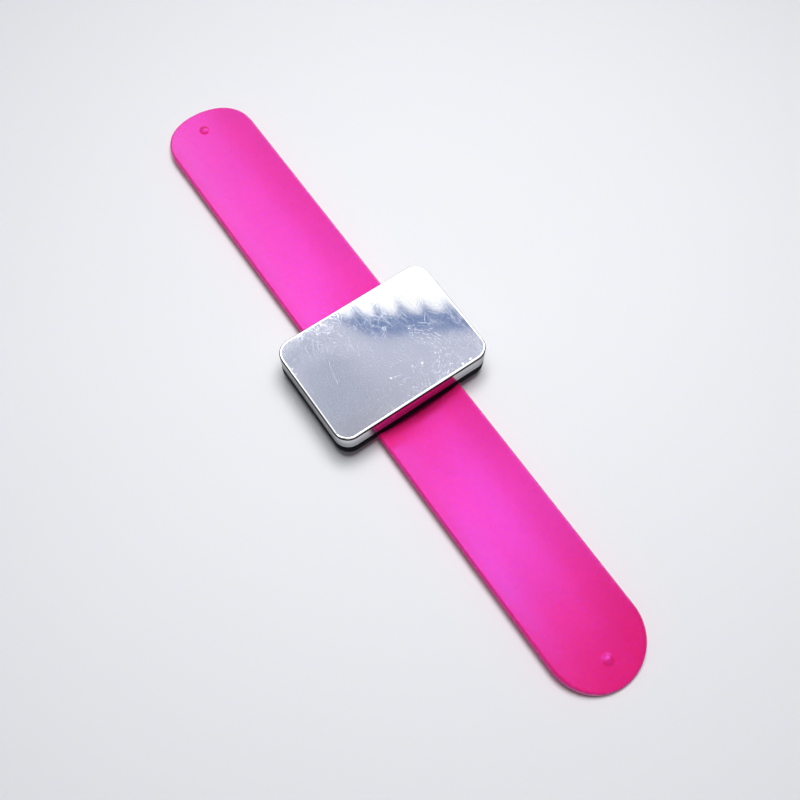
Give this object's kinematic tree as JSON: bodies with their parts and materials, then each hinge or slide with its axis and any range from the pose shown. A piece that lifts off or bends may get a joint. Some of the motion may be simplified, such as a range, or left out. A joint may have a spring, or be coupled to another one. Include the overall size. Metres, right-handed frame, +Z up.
{
  "type": "magnetic wristband",
  "caption": "Slap wristband: a silicone strap over spring tape that snaps into a curl, with a polished steel pin plate over magnets in a moulded base.",
  "frame": {"origin": "lowest line of the strap's underside, at the middle of the strap's length and width", "axes": "+X along the strap, +Y across it, +Z up through the pin plate"},
  "size_m": [0.2408, 0.055, 0.015],
  "materials": {
    "silicone": "satin magenta silicone",
    "spring_steel": "cold-rolled spring strip",
    "polished_steel": "mirror-polished stainless steel with fine scratches",
    "black_plastic": "moulded black plastic, slight grain",
    "ferrite": "sintered dark grey",
    "foam": "closed-cell foam tape"
  },
  "bodies": {
    "middle": {"centre_sleeve": "silicone", "centre_spring": "spring_steel", "pin_plate": "polished_steel", "plate_pad": "foam", "magnet_base": "black_plastic", "front_magnet": "ferrite", "rear_magnet": "ferrite", "strap_pad": "foam"},
    "right_link_1": {"right_sleeve_1": "silicone", "right_spring_1": "spring_steel"},
    "right_link_2": {"right_sleeve_2": "silicone", "right_spring_2": "spring_steel"},
    "right_link_3": {"right_sleeve_3": "silicone", "right_spring_3": "spring_steel"},
    "right_link_4": {"right_sleeve_4": "silicone", "right_spring_4": "spring_steel"},
    "right_link_5": {"right_sleeve_5": "silicone", "right_spring_5": "spring_steel"},
    "right_link_6": {"right_sleeve_6": "silicone", "right_spring_6": "spring_steel"},
    "right_link_7": {"right_sleeve_7": "silicone", "right_spring_7": "spring_steel"},
    "right_link_8": {"right_sleeve_8": "silicone", "right_spring_8": "spring_steel"},
    "right_link_9": {"right_sleeve_9": "silicone", "right_spring_9": "spring_steel"},
    "left_link_1": {"left_sleeve_1": "silicone", "left_spring_1": "spring_steel"},
    "left_link_2": {"left_sleeve_2": "silicone", "left_spring_2": "spring_steel"},
    "left_link_3": {"left_sleeve_3": "silicone", "left_spring_3": "spring_steel"},
    "left_link_4": {"left_sleeve_4": "silicone", "left_spring_4": "spring_steel"},
    "left_link_5": {"left_sleeve_5": "silicone", "left_spring_5": "spring_steel"},
    "left_link_6": {"left_sleeve_6": "silicone", "left_spring_6": "spring_steel"},
    "left_link_7": {"left_sleeve_7": "silicone", "left_spring_7": "spring_steel"},
    "left_link_8": {"left_sleeve_8": "silicone", "left_spring_8": "spring_steel"},
    "left_link_9": {"left_sleeve_9": "silicone", "left_spring_9": "spring_steel"}
  },
  "joints": [
    {"name": "right_curl_1", "type": "hinge", "parent": "middle", "child": "right_link_1", "pos_m": [0.016, 0, 0], "axis": [0, 1, 0], "range_deg": [0, 20]},
    {"name": "right_curl_2", "type": "hinge", "parent": "right_link_1", "child": "right_link_2", "pos_m": [0.02699, 0, 0], "axis": [0, 1, 0], "range_deg": [0, 24]},
    {"name": "right_curl_3", "type": "hinge", "parent": "right_link_2", "child": "right_link_3", "pos_m": [0.03799, 0, 0], "axis": [0, 1, 0], "range_deg": [0, 24]},
    {"name": "right_curl_4", "type": "hinge", "parent": "right_link_3", "child": "right_link_4", "pos_m": [0.04898, 0, 0], "axis": [0, 1, 0], "range_deg": [0, 24]},
    {"name": "right_curl_5", "type": "hinge", "parent": "right_link_4", "child": "right_link_5", "pos_m": [0.05998, 0, 0], "axis": [0, 1, 0], "range_deg": [0, 22]},
    {"name": "right_curl_6", "type": "hinge", "parent": "right_link_5", "child": "right_link_6", "pos_m": [0.07097, 0, 0], "axis": [0, 1, 0], "range_deg": [0, 22]},
    {"name": "right_curl_7", "type": "hinge", "parent": "right_link_6", "child": "right_link_7", "pos_m": [0.08196, 0, 0], "axis": [0, 1, 0], "range_deg": [0, 16]},
    {"name": "right_curl_8", "type": "hinge", "parent": "right_link_7", "child": "right_link_8", "pos_m": [0.09296, 0, 0], "axis": [0, 1, 0], "range_deg": [0, 14]},
    {"name": "right_curl_9", "type": "hinge", "parent": "right_link_8", "child": "right_link_9", "pos_m": [0.10395, 0, 0], "axis": [0, 1, 0], "range_deg": [0, 12]},
    {"name": "left_curl_1", "type": "hinge", "parent": "middle", "child": "left_link_1", "pos_m": [-0.016, 0, 0], "axis": [0, -1, 0], "range_deg": [0, 20]},
    {"name": "left_curl_2", "type": "hinge", "parent": "left_link_1", "child": "left_link_2", "pos_m": [-0.02699, 0, 0], "axis": [0, -1, 0], "range_deg": [0, 28]},
    {"name": "left_curl_3", "type": "hinge", "parent": "left_link_2", "child": "left_link_3", "pos_m": [-0.03799, 0, 0], "axis": [0, -1, 0], "range_deg": [0, 28]},
    {"name": "left_curl_4", "type": "hinge", "parent": "left_link_3", "child": "left_link_4", "pos_m": [-0.04898, 0, 0], "axis": [0, -1, 0], "range_deg": [0, 28]},
    {"name": "left_curl_5", "type": "hinge", "parent": "left_link_4", "child": "left_link_5", "pos_m": [-0.05998, 0, 0], "axis": [0, -1, 0], "range_deg": [0, 26]},
    {"name": "left_curl_6", "type": "hinge", "parent": "left_link_5", "child": "left_link_6", "pos_m": [-0.07097, 0, 0], "axis": [0, -1, 0], "range_deg": [0, 20]},
    {"name": "left_curl_7", "type": "hinge", "parent": "left_link_6", "child": "left_link_7", "pos_m": [-0.08196, 0, 0], "axis": [0, -1, 0], "range_deg": [0, 16]},
    {"name": "left_curl_8", "type": "hinge", "parent": "left_link_7", "child": "left_link_8", "pos_m": [-0.09296, 0, 0], "axis": [0, -1, 0], "range_deg": [0, 16]},
    {"name": "left_curl_9", "type": "hinge", "parent": "left_link_8", "child": "left_link_9", "pos_m": [-0.10395, 0, 0], "axis": [0, -1, 0], "range_deg": [0, 16]}
  ],
  "couplings": [
    {"joint": "right_curl_2", "follows": "right_curl_1", "ratio": 1.2},
    {"joint": "right_curl_3", "follows": "right_curl_1", "ratio": 1.2},
    {"joint": "right_curl_4", "follows": "right_curl_1", "ratio": 1.2},
    {"joint": "right_curl_5", "follows": "right_curl_1", "ratio": 1.1},
    {"joint": "right_curl_6", "follows": "right_curl_1", "ratio": 1.1},
    {"joint": "right_curl_7", "follows": "right_curl_1", "ratio": 0.8},
    {"joint": "right_curl_8", "follows": "right_curl_1", "ratio": 0.7},
    {"joint": "right_curl_9", "follows": "right_curl_1", "ratio": 0.6},
    {"joint": "left_curl_2", "follows": "left_curl_1", "ratio": 1.4},
    {"joint": "left_curl_3", "follows": "left_curl_1", "ratio": 1.4},
    {"joint": "left_curl_4", "follows": "left_curl_1", "ratio": 1.4},
    {"joint": "left_curl_5", "follows": "left_curl_1", "ratio": 1.3},
    {"joint": "left_curl_6", "follows": "left_curl_1", "ratio": 1},
    {"joint": "left_curl_7", "follows": "left_curl_1", "ratio": 0.8},
    {"joint": "left_curl_8", "follows": "left_curl_1", "ratio": 0.8},
    {"joint": "left_curl_9", "follows": "left_curl_1", "ratio": 0.8}
  ]
}
